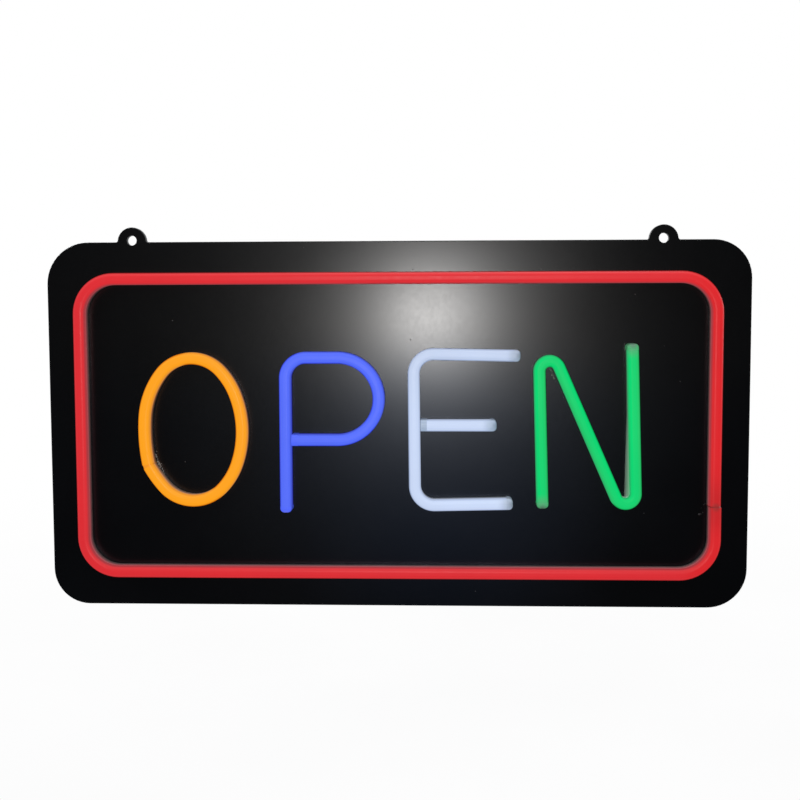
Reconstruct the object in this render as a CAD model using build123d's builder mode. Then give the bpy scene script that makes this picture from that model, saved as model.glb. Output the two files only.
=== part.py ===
from build123d import *
import math
import os

os.makedirs("parts", exist_ok=True)

# Lighted sign board: a panel with glowing tube letters and border, a tray-shaped rear cover,
# a circuit board, leads, a switch and a power socket.  Millimetres.
# X to the right, Z up, the lit face looks along -Y.  Y = 0 is the flat back of the rear cover;
# a depth is the distance in front of that plane, so y = -depth.
#
# Name endings: _w width, _h height, _r radius, _t thickness, _len length, _d depth, _x/_z place.
# Points of two numbers are (x, z) unless a comment says otherwise.

# ---- panel ----
board_w = 500.0
board_h = 262.0
# corner radii differ a little, keyed by the side in X and Z
board_corner_r = {(-1, 1): 30.0, (1, 1): 27.0, (1, -1): 28.0, (-1, -1): 26.0}
panel_back_d = 14.0
panel_front_d = 18.0
panel_t = panel_front_d - panel_back_d
panel_edge_r = 0.6

# hanging ears on the top edge
ear_x = 188.2
ear_z = board_h / 2 + 0.2
ear_r = 10.3
ear_root_r = 1.5
hang_hole_r = 3.5
hang_hole_z = 132.1

# ---- light tube section ----
tube_w = 8.4
groove_clear = 0.1
groove_floor_d = 17.0
groove_depth = panel_front_d - groove_floor_d
tube_wall_top_d = 25.3
tube_top_d = 29.5
dome_r = 3.3
channel_floor = 1.5
channel_void_w = 5.0
tongue_depth = 2.0
tube_half_w = tube_w / 2
void_half_w = channel_void_w / 2
# heights above the groove floor
tube_h = tube_top_d - groove_floor_d
wall_h = tube_wall_top_d - groove_floor_d
shoulder_h = tube_h - dome_r

# end caps of open tubes, with a plug that reaches into the channel
cap_len = 4.5
cap_end_r = 3.0
cap_butt_r = 0.5
cap_zone_d = 10.0
cap_zone_t = 30.0
cap_zone_overrun = 0.1
plug_len = 3.2
plug_overlap = 0.2
plug_w = 4.6
plug_t = 2.6
plug_chip_gap = 0.6

# splices of closed tubes
splice_gap = 1.2
splice_sink = 0.3

# lamp strip and chips
strip_w = 4.8
strip_t = 0.3
strip_cap_gap = 0.5
strip_front_h = channel_floor + strip_t
chip_len = 3.5
chip_w = 2.8
chip_h = 0.8
chip_pitch = 16.6667
closed_chip_margin = 8.0
open_chip_margin = 14.0

# ---- tube centre lines ----
# border loop; on the right, the run below the splice sits a little further out
border_w = 450.0
border_h = 210.0
border_r = 25.0
border_z = -0.25
border_splice_z = -56.6
border_step = 0.5
border_below_x = border_w / 2 + border_step * 0.4
border_above_x = border_w / 2 - border_step * 0.6

# letter O: hand-bent loop, a chain of tangent bends from just below its splice
loop_start = (-145.0 - 31.83, -2.1 - 26.79)
loop_start_deg = -61.0
# (radius, angle in degrees)
loop_bends = [
    (87.5, 11.9), (28.35, 94.2), (48.0, 26.0), (72.5, 40.45),
    (51.3, 22.0), (27.75, 98.6), (58.35, 33.65), (126.75, 15.2),
]

# letter P: stem up from the foot, bowl round to the return
stem_x = -78.4
stem_foot_z = -61.8
stem_bend_r = 14.5
bowl_top_z = 48.7
bowl_x = -41.2
bowl_r = 29.25
bowl_bottom_z = bowl_top_z - 2 * bowl_r
stem_foot = (stem_x, stem_foot_z)
bowl_return = (-74.0, bowl_bottom_z)

# letter E, its middle bar a tube of its own
e_top_end = (88.0, 49.8)
e_top_corner = (12.7, 51.4)
e_bottom_corner = (13.7, -56.6)
e_bottom_end = (83.0, -55.1)
e_bend_r = 14.0
bar_start = (17.7, 0.7)
bar_end = (71.4, 0.7)

# letter N
n_start = (104.0, -58.3)
n_top_corner = (100.3, 75.7)
n_bottom_corner = (170.6, -84.7)
n_end = (166.0, 58.4)
n_bend_r = 7.2
# the last stem leans to the right towards its bend, so its left side runs out to a wider foot:
# distances from the bottom corner where the foot is full width and where it is gone
n_foot_w = 2.75
n_foot_near = 34.2
n_foot_far = 92.7
n_foot_end_w = 0.02
n_foot_gap = 0.05
n_foot_overlap = 0.2

# ---- rear cover ----
cover_w = board_w - 2 * 6.0
cover_h = 249.0
cover_wall = 2.2
cover_back = 2.5
cover_corner_r = 24.0
cover_edge_r = 2.0
inner_w = cover_w - 2 * cover_wall
inner_h = cover_h - 2 * cover_wall
inner_corner_r = cover_corner_r - cover_wall
cover_bottom_z = -cover_h / 2
inner_bottom_z = -inner_h / 2
vent_pitch = 7.0
vent_count = 11
vent_len = 22.0
vent_w = 2.2

# locating rib on the panel, inside the cover wall
rib_t = 1.2
rib_h = 1.2
rib_clear = 0.2
rib_w = inner_w - 2 * rib_clear
rib_span_h = inner_h - 2 * rib_clear
rib_corner_r = inner_corner_r - rib_clear

# ---- cover fixings ----
boss_r = 4.0
insert_r = 2.1
insert_bore_r = 1.5
insert_len = 5.5
pilot_r = 1.6
pilot_len = 9.0
screw_back_d = 0.1
screw_r = 1.45
screw_head_r = 2.8
screw_len = 8.6
screw_tip_chamfer = 0.5
screw_cross = (3.0, 0.7)
screw_cross_depth = 0.9
cover_hole_r = 1.6
cover_sink_r = 2.95
boss_points = [
    (-226, 106), (-113, 114), (0, 114), (113, 114), (226, 106),
    (-226, -106), (-113, -114), (0, -114), (100, -114), (226, -106),
]

# ---- circuit board ----
circuit_w = 88.0
circuit_h = 30.0
circuit_centre = (12.0, -89.0)
circuit_corner_r = 2.0
circuit_back_d = 10.4
circuit_front_d = 12.0
circuit_hole_r = 1.4
circuit_boss_r = 2.6
circuit_pilot_r = 1.1
circuit_pilot_len = 3.6
circuit_screw_points = [(-28.0, -97.5), (-28.0, -79.0), (52.0, -79.0), (52.0, -101.0)]
circuit_screw_r = 1.05
circuit_screw_len = 5.0
circuit_head_r = 2.2
circuit_head_t = 1.4
circuit_head_edge_r = 0.6
circuit_cross = (2.2, 0.5)
circuit_cross_depth = 0.7
resistor_w = 3.2
resistor_len = 6.3
resistor_t = 0.7
resistor_z = -90.0

# one lead terminal for each tube, and a supply terminal entered from the right
terminal_x = [-20.0 + 12.5 * i for i in range(6)]
terminal_bottom_z = -84.0
terminal_top_z = -76.0
terminal_z = (terminal_bottom_z + terminal_top_z) / 2
terminal_w = 5.4
terminal_depth = 6.4
supply_terminal_x = 44.0
supply_terminal_z = -97.0
supply_terminal_w = 8.0
supply_terminal_h = 5.4
clamp_r = 1.5
clamp_depth = 1.6
entry_len = 4.0

# ---- leads and grommets ----
lead_r = 0.6
lead_bend_r = 2.0
supply_bend_r = 1.2
positive_d = 9.0
negative_d = 7.2
lead_half_gap = 0.8
entry_clear = 0.1
feed_inset = 9.0
border_feed_drop = 6.0
panel_lead_hole_r = 2.5
grommet_bore_r = 1.7
grommet_flange_r = 3.6
grommet_flange_t = 1.0

# ---- switch and socket in the bottom wall, both centred at this depth ----
fitting_d = 7.4
switch_x = 140.0
socket_x = 190.0


# ---------------------------------------------------------------------------
# shared helpers
# ---------------------------------------------------------------------------

def at_depth(depth):
    """Plane parallel to the board; local x = X, local y = Z, normal to the front."""
    return Plane.XZ.offset(depth)


def at_height(z):
    """Horizontal plane; local x = X, local y = Y, normal up."""
    return Plane.XY.offset(z)


def draw_circles(points, radius):
    with Locations(*points):
        Circle(radius)


def draw_cross(points, arm_len, arm_w):
    with Locations(*points):
        Rectangle(arm_len, arm_w)
        Rectangle(arm_w, arm_len)


def draw_quarter(start, corner, end):
    """Quarter circle from start to end that rounds off the right-angled corner between them."""
    start, corner, end = Vector(*start), Vector(*corner), Vector(*end)
    middle = corner + (start + end - corner * 2) * (1 - math.sqrt(0.5))
    ThreePointArc(start, middle, end)


def draw_rounded_run(points, radius):
    """Straight runs through right-angled corners, each corner rounded off."""
    points = [Vector(*point) for point in points]
    start = points[0]
    for before, corner, after in zip(points, points[1:], points[2:]):
        turn_start = corner + (before - corner).normalized() * radius
        turn_end = corner + (after - corner).normalized() * radius
        Line(start, turn_start)
        draw_quarter(turn_start, corner, turn_end)
        start = turn_end
    Line(start, points[-1])


def joined(parts):
    with BuildPart() as body:
        for part in parts:
            add(part)
    return body.part


def save(part, name):
    part.label = name
    export_step(part, "parts/" + name + ".step")


# ---------------------------------------------------------------------------
# centre lines of the light tubes, drawn inside a BuildLine
# ---------------------------------------------------------------------------

def draw_border():
    """Rounded rectangle from above the splice round to below it."""
    left = -border_w / 2
    top = border_z + border_h / 2
    bottom = border_z - border_h / 2
    draw_rounded_run([
        (border_above_x, border_splice_z + splice_gap / 2), (border_above_x, top), (left, top),
        (left, bottom), (border_below_x, bottom),
        (border_below_x, border_splice_z - splice_gap / 2),
    ], border_r)


def draw_letter_o():
    """Open at the splice, where the two ends meet at a slight angle."""
    angle = math.radians(loop_start_deg)
    point, tangent = loop_start, (math.cos(angle), math.sin(angle))
    for radius, turn in loop_bends:
        bend = JernArc(start=point, tangent=tangent, radius=radius, arc_size=turn)
        point, tangent = bend @ 1, bend % 1


def draw_letter_p():
    draw_rounded_run([stem_foot, (stem_x, bowl_top_z), (bowl_x, bowl_top_z)], stem_bend_r)
    ThreePointArc((bowl_x, bowl_top_z), (bowl_x + bowl_r, bowl_top_z - bowl_r),
                  (bowl_x, bowl_bottom_z))
    Line((bowl_x, bowl_bottom_z), bowl_return)


def draw_letter_e():
    FilletPolyline(e_top_end, e_top_corner, e_bottom_corner, e_bottom_end, radius=e_bend_r)


def draw_e_bar():
    Line(bar_start, bar_end)


def draw_letter_n():
    FilletPolyline(n_start, n_top_corner, n_bottom_corner, n_end, radius=n_bend_r)


def direction(start, end):
    """Angle in degrees of the direction from start to end in the board plane."""
    return math.degrees(math.atan2(end[1] - start[1], end[0] - start[0]))


# open tubes: end point, outward angle and rounding of the rim at both ends
p_ends = [(stem_foot, -90.0, cap_end_r), (bowl_return, 180.0, cap_butt_r)]
e_ends = [(e_top_end, direction(e_top_corner, e_top_end), cap_end_r),
          (e_bottom_end, direction(e_bottom_corner, e_bottom_end), cap_end_r)]
bar_ends = [(bar_start, 180.0, cap_butt_r), (bar_end, 0.0, cap_end_r)]
n_ends = [(n_start, direction(n_top_corner, n_start), cap_end_r),
          (n_end, direction(n_bottom_corner, n_end), cap_end_r)]


def inward(end, distance):
    """Point a distance inwards from a tube end."""
    (x, z), angle, _ = end
    angle = math.radians(angle)
    return (x - distance * math.cos(angle), z - distance * math.sin(angle))


def end_location(end, distance):
    """Sketch location a distance inwards from a tube end, its x axis pointing outwards."""
    x, z = inward(end, distance)
    return Location((x, z, 0), (0, 0, end[1]))


def on_first_bend(distance):
    """Point of letter O's first bend, a distance along it from the start."""
    radius = loop_bends[0][0]
    start = math.radians(loop_start_deg)
    angle = start + distance / radius
    return (loop_start[0] + radius * (math.sin(angle) - math.sin(start)),
            loop_start[1] - radius * (math.cos(angle) - math.cos(start)))


# where each tube's leads pass through the panel
border_feed = (border_below_x, border_splice_z - border_feed_drop)
o_feed = on_first_bend(feed_inset)
p_feed = inward(p_ends[0], feed_inset)
bar_feed = inward(bar_ends[1], feed_inset)
e_feed = inward(e_ends[1], feed_inset)
n_feed = inward(n_ends[0], feed_inset)
# in the order of the terminals, left to right
feeds = [o_feed, p_feed, bar_feed, e_feed, n_feed, border_feed]


# ---------------------------------------------------------------------------
# tube section outlines, drawn inside a BuildLine:
# local x across the tube, local y to the front from the groove floor
# ---------------------------------------------------------------------------

def draw_dome(sink=0.0):
    """Rounded top of the section, from the right shoulder round to the left one."""
    side, top, radius = tube_half_w - sink, tube_h - sink, dome_r - sink
    draw_quarter((side, top - radius), (side, top), (side - radius, top))
    Line((side - radius, top), (-side + radius, top))
    draw_quarter((-side + radius, top), (-side, top), (-side, top - radius))


def envelope_outline(sink=0.0):
    side = tube_half_w - sink
    Polyline((-side, shoulder_h), (-side, 0), (side, 0), (side, shoulder_h))
    draw_dome(sink)


def joint_outline():
    """Glued joint of a closed tube, smaller than the tube at the sides and top."""
    envelope_outline(splice_sink)


def channel_outline():
    Polyline((-tube_half_w, 0), (tube_half_w, 0), (tube_half_w, wall_h), (void_half_w, wall_h),
             (void_half_w, channel_floor), (-void_half_w, channel_floor), (-void_half_w, wall_h),
             (-tube_half_w, wall_h), close=True)


def diffuser_outline():
    tongue_h = wall_h - tongue_depth
    Polyline((-tube_half_w, shoulder_h), (-tube_half_w, wall_h), (-void_half_w, wall_h),
             (-void_half_w, tongue_h), (void_half_w, tongue_h), (void_half_w, wall_h),
             (tube_half_w, wall_h), (tube_half_w, shoulder_h))
    draw_dome()


def strip_outline():
    side = strip_w / 2
    Polyline((-side, channel_floor), (side, channel_floor), (side, strip_front_h),
             (-side, strip_front_h), close=True)


def groove_outline():
    side = tube_half_w + groove_clear
    Polyline((-side, 0), (side, 0), (side, groove_depth), (-side, groove_depth), close=True)


# ---------------------------------------------------------------------------
# bodies along a tube
# ---------------------------------------------------------------------------

def tube_path(draw):
    """Centre line of a tube, in the plane of the groove floor."""
    with BuildLine() as path:
        draw()
    return path.wires()[0].moved(at_depth(groove_floor_d).location)


def section_plane(wire, position=0):
    """Plane across a path: local x across the tube, local y to the front."""
    tangent = wire.tangent_at(position)
    front = Vector(0, -1, 0)
    return Plane(origin=wire.position_at(position), x_dir=front.cross(tangent), z_dir=tangent)


def swept(draw, outline):
    """Sweep a closed section outline along a tube's centre line."""
    wire = tube_path(draw)
    with BuildPart() as body:
        with BuildSketch(section_plane(wire)):
            with BuildLine():
                outline()
            make_face()
        sweep(path=wire)
    return body.part


def bridged(draw, outline):
    """Short body across the splice of a closed tube, from one tube end to the other."""
    wire = tube_path(draw)
    with BuildPart() as body:
        for position in (1, 0):
            with BuildSketch(section_plane(wire, position)):
                with BuildLine():
                    outline()
                make_face()
        loft()
    return body.part


def letter_n_foot():
    """Sloping left side of the last stem, running out to nothing at its far end."""
    (corner_x, corner_z), (end_x, end_z) = n_bottom_corner, n_end
    length = math.hypot(end_x - corner_x, end_z - corner_z)
    along_x, along_z = (end_x - corner_x) / length, (end_z - corner_z) / length
    foot_h = groove_depth + n_foot_gap
    inner = tube_half_w - n_foot_overlap
    top = wall_h - n_foot_overlap
    with BuildPart() as body:
        for distance, width in ((n_foot_near, n_foot_w), (n_foot_far, n_foot_end_w)):
            origin = (corner_x + along_x * distance, -groove_floor_d,
                      corner_z + along_z * distance)
            with BuildSketch(Plane(origin=origin, x_dir=(-along_z, 0, along_x),
                                   z_dir=(along_x, 0, along_z))):
                with BuildLine():
                    Polyline((inner, foot_h), (tube_half_w + width, foot_h), (tube_half_w, top),
                             (inner, top), close=True)
                make_face()
        loft()
    return body.part


def end_zones(ends, length):
    """Boxes over the last stretch of an open tube, both ends."""
    inset = (length - cap_zone_overrun) / 2
    with BuildPart() as zones:
        with BuildSketch(at_depth(cap_zone_d)):
            with Locations(*[end_location(end, inset) for end in ends]):
                Rectangle(length + cap_zone_overrun, 10)
        extrude(amount=cap_zone_t)
    return zones.part


def tube_envelope(draw, ends):
    """Outer shape of an open tube, groove floor to rounded top, its ends rounded off."""
    with BuildPart() as body:
        add(swept(draw, envelope_outline))
        for (x, z), _, rim_r in ends:
            end_centre = (x, -groove_floor_d - wall_h / 2, z)
            end_face = body.faces().sort_by_distance(end_centre)[0]
            # all edges of the end face but the one on the groove floor
            rim = ShapeList(edge for edge in end_face.edges()
                            if edge.center().Y < -groove_floor_d - 0.01)
            fillet(rim, radius=rim_r)
    return body.part


def tube_channel(draw, feed, cut=None, side=None):
    """Channel with its lead hole, optionally widened by a side body and cut at the ends."""
    with BuildPart() as body:
        add(swept(draw, channel_outline))
        if side is not None:
            add(side)
        if cut is not None:
            add(cut, mode=Mode.SUBTRACT)
        with BuildSketch(at_depth(groove_floor_d)):
            draw_circles([feed], grommet_bore_r)
        extrude(amount=channel_floor, mode=Mode.SUBTRACT)
    return body.part


def trimmed(draw, outline, cut):
    with BuildPart() as body:
        add(swept(draw, outline))
        add(cut, mode=Mode.SUBTRACT)
    return body.part


def tube_chips(draw, margin):
    """Lamp chips at an even pitch along the strip."""
    with BuildLine() as path:
        draw()
    wire = path.wires()[0]
    length = wire.length
    count = int((length - 2 * margin) / chip_pitch)
    with BuildPart() as body:
        with BuildSketch(at_depth(groove_floor_d + strip_front_h)):
            for i in range(count + 1):
                position = (margin + (length - 2 * margin) * i / count) / length
                point = wire.position_at(position)
                tangent = wire.tangent_at(position)
                angle = math.degrees(math.atan2(tangent.Y, tangent.X))
                with Locations(Location((point.X, point.Y, 0), (0, 0, angle))):
                    Rectangle(chip_len, chip_w)
        extrude(amount=chip_h)
    return body.part


def tube_caps(envelope, zones, ends):
    """End caps: the last stretch of the tube's outline, each with a plug into the channel."""
    plug_inset = cap_len + plug_len / 2 - plug_overlap
    with BuildPart() as body:
        add(envelope)
        add(zones, mode=Mode.INTERSECT)
        with BuildSketch(at_depth(groove_floor_d + strip_front_h + chip_h + plug_chip_gap)):
            with Locations(*[end_location(end, plug_inset) for end in ends]):
                Rectangle(plug_len, plug_w)
        extrude(amount=plug_t)
    return body.part


# ---------------------------------------------------------------------------
# light tubes
# ---------------------------------------------------------------------------

# name, centre line, lead feed
closed_tubes = [
    ("border", draw_border, border_feed),
    ("letter_o", draw_letter_o, o_feed),
]
# name, centre line, ends, lead feed, side body of the channel
open_tubes = [
    ("letter_p", draw_letter_p, p_ends, p_feed, None),
    ("letter_e", draw_letter_e, e_ends, e_feed, None),
    ("e_bar", draw_e_bar, bar_ends, bar_feed, None),
    ("letter_n", draw_letter_n, n_ends, n_feed, letter_n_foot()),
]

for name, draw, feed in closed_tubes:
    save(swept(draw, diffuser_outline), name + "_diffuser")
    save(tube_channel(draw, feed), name + "_channel")
    save(swept(draw, strip_outline), name + "_led_strip")
    save(tube_chips(draw, closed_chip_margin), name + "_led_chips")
    save(bridged(draw, joint_outline), name + "_splice")

for name, draw, ends, feed, side in open_tubes:
    envelope = tube_envelope(draw, ends)
    zones = end_zones(ends, cap_len)
    strip_cut = end_zones(ends, cap_len + strip_cap_gap)
    save(trimmed(draw, diffuser_outline, zones), name + "_diffuser")
    save(tube_channel(draw, feed, zones, side), name + "_channel")
    save(trimmed(draw, strip_outline, strip_cut), name + "_led_strip")
    save(tube_chips(draw, open_chip_margin), name + "_led_chips")
    save(tube_caps(envelope, zones, ends), name + "_end_caps")

# ---------------------------------------------------------------------------
# front panel: plate with ears, grooves, lead holes, bosses and a locating rib
# ---------------------------------------------------------------------------

with BuildPart() as front_panel:
    with BuildSketch(at_depth(panel_back_d)) as outline:
        Rectangle(board_w, board_h)
        for (side_x, side_z), radius in board_corner_r.items():
            corner = (side_x * board_w / 2, side_z * board_h / 2, 0)
            fillet(outline.vertices().sort_by_distance(corner)[0], radius=radius)
        draw_circles([(-ear_x, ear_z), (ear_x, ear_z)], ear_r)
    extrude(amount=panel_t)
    # inner corners where the ears meet the top edge
    roots = ShapeList(edge for edge in front_panel.edges().filter_by(Axis.Y)
                      if abs(edge.center().Z - board_h / 2) < 0.5
                      and abs(abs(abs(edge.center().X) - ear_x) - ear_r) < 0.5)
    fillet(roots, radius=ear_root_r)
    front_rim = front_panel.faces().sort_by(Axis.Y)[0].edges()
    fillet(front_rim, radius=panel_edge_r)
    with BuildSketch(at_depth(panel_back_d)):
        draw_circles([(-ear_x, hang_hole_z), (ear_x, hang_hole_z)], hang_hole_r)
    extrude(amount=panel_t, mode=Mode.SUBTRACT)
    # grooves the tubes sit in
    for tube in closed_tubes + open_tubes:
        add(swept(tube[1], groove_outline), mode=Mode.SUBTRACT)
    for tube in closed_tubes:
        add(bridged(tube[1], groove_outline), mode=Mode.SUBTRACT)
    # clearance at the ends of the open grooves
    for tube in open_tubes:
        with BuildSketch(at_depth(groove_floor_d)):
            with Locations(*[end_location(end, 0) for end in tube[2]]):
                Rectangle(2 * groove_clear, tube_w + 2 * groove_clear)
        extrude(amount=groove_depth, mode=Mode.SUBTRACT)
    # lead holes
    with BuildSketch(at_depth(panel_back_d)):
        draw_circles(feeds, panel_lead_hole_r)
    extrude(amount=groove_floor_d - panel_back_d, mode=Mode.SUBTRACT)
    # cover bosses, drilled for the inserts and the screws
    with BuildSketch(at_depth(cover_back)):
        draw_circles(boss_points, boss_r)
    extrude(amount=panel_back_d - cover_back)
    with BuildSketch(at_depth(cover_back)):
        draw_circles(boss_points, insert_r)
    extrude(amount=insert_len, mode=Mode.SUBTRACT)
    with BuildSketch(at_depth(cover_back)):
        draw_circles(boss_points, pilot_r)
    extrude(amount=pilot_len, mode=Mode.SUBTRACT)
    # circuit board bosses
    with BuildSketch(at_depth(circuit_front_d)):
        draw_circles(circuit_screw_points, circuit_boss_r)
    extrude(amount=panel_back_d - circuit_front_d)
    with BuildSketch(at_depth(circuit_front_d)):
        draw_circles(circuit_screw_points, circuit_pilot_r)
    extrude(amount=circuit_pilot_len, mode=Mode.SUBTRACT)
    # locating rib inside the cover wall
    with BuildSketch(at_depth(panel_back_d - rib_h)):
        RectangleRounded(rib_w, rib_span_h, rib_corner_r)
        RectangleRounded(rib_w - 2 * rib_t, rib_span_h - 2 * rib_t, rib_corner_r - rib_t,
                         mode=Mode.SUBTRACT)
    extrude(amount=rib_h)
save(front_panel.part, "front_panel")

# ---------------------------------------------------------------------------
# rear cover: shallow tray
# ---------------------------------------------------------------------------

switch_opening = (14.0, 9.4)
socket_opening_r = 4.0
opening_overrun = 1.0

with BuildPart() as rear_cover:
    with BuildSketch(at_depth(0)):
        RectangleRounded(cover_w, cover_h, cover_corner_r)
    extrude(amount=panel_back_d)
    fillet(rear_cover.faces().sort_by(Axis.Y)[-1].edges(), radius=cover_edge_r)
    with BuildSketch(at_depth(cover_back)):
        RectangleRounded(inner_w, inner_h, inner_corner_r)
    extrude(amount=panel_back_d - cover_back, mode=Mode.SUBTRACT)
    # screw holes, countersunk from the back
    with BuildSketch(at_depth(0)):
        draw_circles(boss_points, cover_hole_r)
    extrude(amount=cover_back, mode=Mode.SUBTRACT)
    with BuildSketch(at_depth(0)):
        draw_circles(boss_points, cover_sink_r)
    extrude(amount=cover_sink_r - cover_hole_r, taper=45, mode=Mode.SUBTRACT)
    # cooling slots behind the circuit board
    with BuildSketch(at_depth(0)):
        with GridLocations(vent_pitch, 0.0, vent_count, 1):
            with Locations(circuit_centre):
                SlotOverall(vent_len, vent_w, rotation=90)
    extrude(amount=cover_back, mode=Mode.SUBTRACT)
    # openings in the bottom wall for the switch and the power socket
    with BuildSketch(at_height(cover_bottom_z - opening_overrun)):
        with Locations((switch_x, -fitting_d)):
            Rectangle(*switch_opening)
        with Locations((socket_x, -fitting_d)):
            Circle(socket_opening_r)
    extrude(amount=cover_wall + 2 * opening_overrun, mode=Mode.SUBTRACT)
save(rear_cover.part, "rear_cover")

# ---------------------------------------------------------------------------
# cover fixings
# ---------------------------------------------------------------------------

with BuildPart() as cover_inserts:
    with BuildSketch(at_depth(cover_back)):
        with Locations(*boss_points):
            Circle(insert_r)
            Circle(insert_bore_r, mode=Mode.SUBTRACT)
    extrude(amount=insert_len)
save(cover_inserts.part, "cover_inserts")

# countersunk screw with a cross recess, at x = z = 0
with BuildPart() as cover_screw:
    with BuildSketch(at_depth(screw_back_d)):
        Circle(screw_head_r)
    extrude(amount=screw_head_r - screw_r, taper=45)
    with BuildSketch(at_depth(screw_back_d)):
        Circle(screw_r)
    extrude(amount=screw_len)
    with BuildSketch(at_depth(screw_back_d)):
        draw_cross([(0, 0)], *screw_cross)
    extrude(amount=screw_cross_depth, taper=12, mode=Mode.SUBTRACT)
    chamfer(cover_screw.faces().sort_by(Axis.Y)[0].edges(), length=screw_tip_chamfer)
save(joined([cover_screw.part.moved(Location((x, 0, z))) for x, z in boss_points]),
     "cover_screws")

# ---------------------------------------------------------------------------
# circuit board and what it carries on its back
# ---------------------------------------------------------------------------

with BuildPart() as circuit_board:
    with BuildSketch(at_depth(circuit_back_d)):
        with Locations(circuit_centre):
            RectangleRounded(circuit_w, circuit_h, circuit_corner_r)
        with Locations(*circuit_screw_points):
            Circle(circuit_hole_r, mode=Mode.SUBTRACT)
    extrude(amount=circuit_front_d - circuit_back_d)
save(circuit_board.part, "circuit_board")

with BuildPart() as circuit_board_screws:
    with BuildSketch(at_depth(circuit_back_d - circuit_head_t)):
        draw_circles(circuit_screw_points, circuit_head_r)
    extrude(amount=circuit_head_t)
    # the back faces of the four heads
    fillet(circuit_board_screws.faces().sort_by(Axis.Y)[-4:].edges(), radius=circuit_head_edge_r)
    with BuildSketch(at_depth(circuit_back_d)):
        draw_circles(circuit_screw_points, circuit_screw_r)
    extrude(amount=circuit_screw_len)
    with BuildSketch(at_depth(circuit_back_d - circuit_head_t)):
        draw_cross(circuit_screw_points, *circuit_cross)
    extrude(amount=circuit_cross_depth, mode=Mode.SUBTRACT)
save(circuit_board_screws.part, "circuit_board_screws")

with BuildPart() as board_resistors:
    with BuildSketch(at_depth(circuit_back_d - resistor_t)):
        with Locations(*[(x, resistor_z) for x in terminal_x]):
            Rectangle(resistor_w, resistor_len)
    extrude(amount=resistor_t)
save(board_resistors.part, "board_resistors")

clamp_points = [(x, terminal_z - 1.6) for x in terminal_x]
clamp_points.append((supply_terminal_x - 1.8, supply_terminal_z))

with BuildPart() as board_terminals:
    with BuildSketch(at_depth(circuit_back_d - terminal_depth)):
        with Locations(*[(x, terminal_z) for x in terminal_x]):
            Rectangle(terminal_w, terminal_top_z - terminal_bottom_z)
        with Locations((supply_terminal_x, supply_terminal_z)):
            Rectangle(supply_terminal_w, supply_terminal_h)
    extrude(amount=terminal_depth)
    # lead entries at the depths of the positive and negative leads
    for depth in (positive_d, negative_d):
        with BuildSketch(at_height(terminal_top_z - 3.0)):
            draw_circles([(x, -depth) for x in terminal_x], lead_r + entry_clear)
        extrude(amount=entry_len, mode=Mode.SUBTRACT)
        with BuildSketch(Plane.YZ.offset(supply_terminal_x + 1.0)):
            draw_circles([(-depth, supply_terminal_z)], lead_r + entry_clear)
        extrude(amount=entry_len, mode=Mode.SUBTRACT)
    # clamp screw pockets
    with BuildSketch(at_depth(circuit_back_d - terminal_depth)):
        draw_circles(clamp_points, clamp_r)
    extrude(amount=clamp_depth, mode=Mode.SUBTRACT)
save(board_terminals.part, "board_terminals")

# ---------------------------------------------------------------------------
# grommets and tube leads
# ---------------------------------------------------------------------------

grommet_back_d = panel_back_d - grommet_flange_t

with BuildPart() as lead_grommets:
    with BuildSketch(at_depth(panel_back_d)):
        draw_circles(feeds, panel_lead_hole_r)
    extrude(amount=groove_floor_d - panel_back_d)
    with BuildSketch(at_depth(grommet_back_d)):
        draw_circles(feeds, grommet_flange_r)
    extrude(amount=grommet_flange_t)
    with BuildSketch(at_depth(grommet_back_d)):
        draw_circles(feeds, grommet_bore_r)
    extrude(amount=groove_floor_d - grommet_back_d, mode=Mode.SUBTRACT)
save(lead_grommets.part, "lead_grommets")


def lead(points, bend_r):
    """Round lead through right-angled turns; points are (x, y, z)."""
    start, after = Vector(*points[0]), Vector(*points[1])
    with BuildPart() as body:
        with BuildLine() as path:
            draw_rounded_run(points, bend_r)
        with BuildSketch(Plane(origin=start, z_dir=(after - start).normalized())):
            Circle(lead_r)
        sweep(path=path.wires()[0])
    return body.part


strip_back_d = groove_floor_d + channel_floor
terminal_entry_z = terminal_top_z - 2.5
# height of each lead's sideways run, in the order of the feeds
lane_z = [-66.5, -60.0, -5.0, -61.5, -66.5, -71.0]


def tube_leads(depth, side):
    """Leads of one polarity: back from the strip, along a lane, down into the terminal."""
    parts = []
    for (feed_x, feed_z), lane, end_x in zip(feeds, lane_z, terminal_x):
        x = feed_x + side * lead_half_gap
        parts.append(lead([
            (x, -strip_back_d, feed_z), (x, -depth, feed_z), (x, -depth, lane),
            (end_x, -depth, lane), (end_x, -depth, terminal_entry_z),
        ], lead_bend_r))
    return joined(parts)


save(tube_leads(positive_d, -1), "leads_positive")
save(tube_leads(negative_d, 1), "leads_negative")

# ---------------------------------------------------------------------------
# power socket in the bottom wall, mouth facing down
# ---------------------------------------------------------------------------

socket_centre = (socket_x, -fitting_d)  # (x, y)
socket_flange_r = 5.2
socket_flange_t = 1.8
socket_body_r = 3.9
socket_body_len = 11.0
socket_bore_r = 2.8
socket_bore_len = 9.5
socket_mouth_z = cover_bottom_z - socket_flange_t
socket_back_z = cover_bottom_z + socket_body_len
bore_end_z = socket_mouth_z + socket_bore_len
nut_flat_r = 4.8
nut_t = 2.2
pin_r = 1.0
pin_recess = 1.5
pin_tail_r = 0.6
pin_top_z = cover_bottom_z + 13.5
socket_tag_x = socket_x + 2.6
socket_tag_len = 4.5

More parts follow.
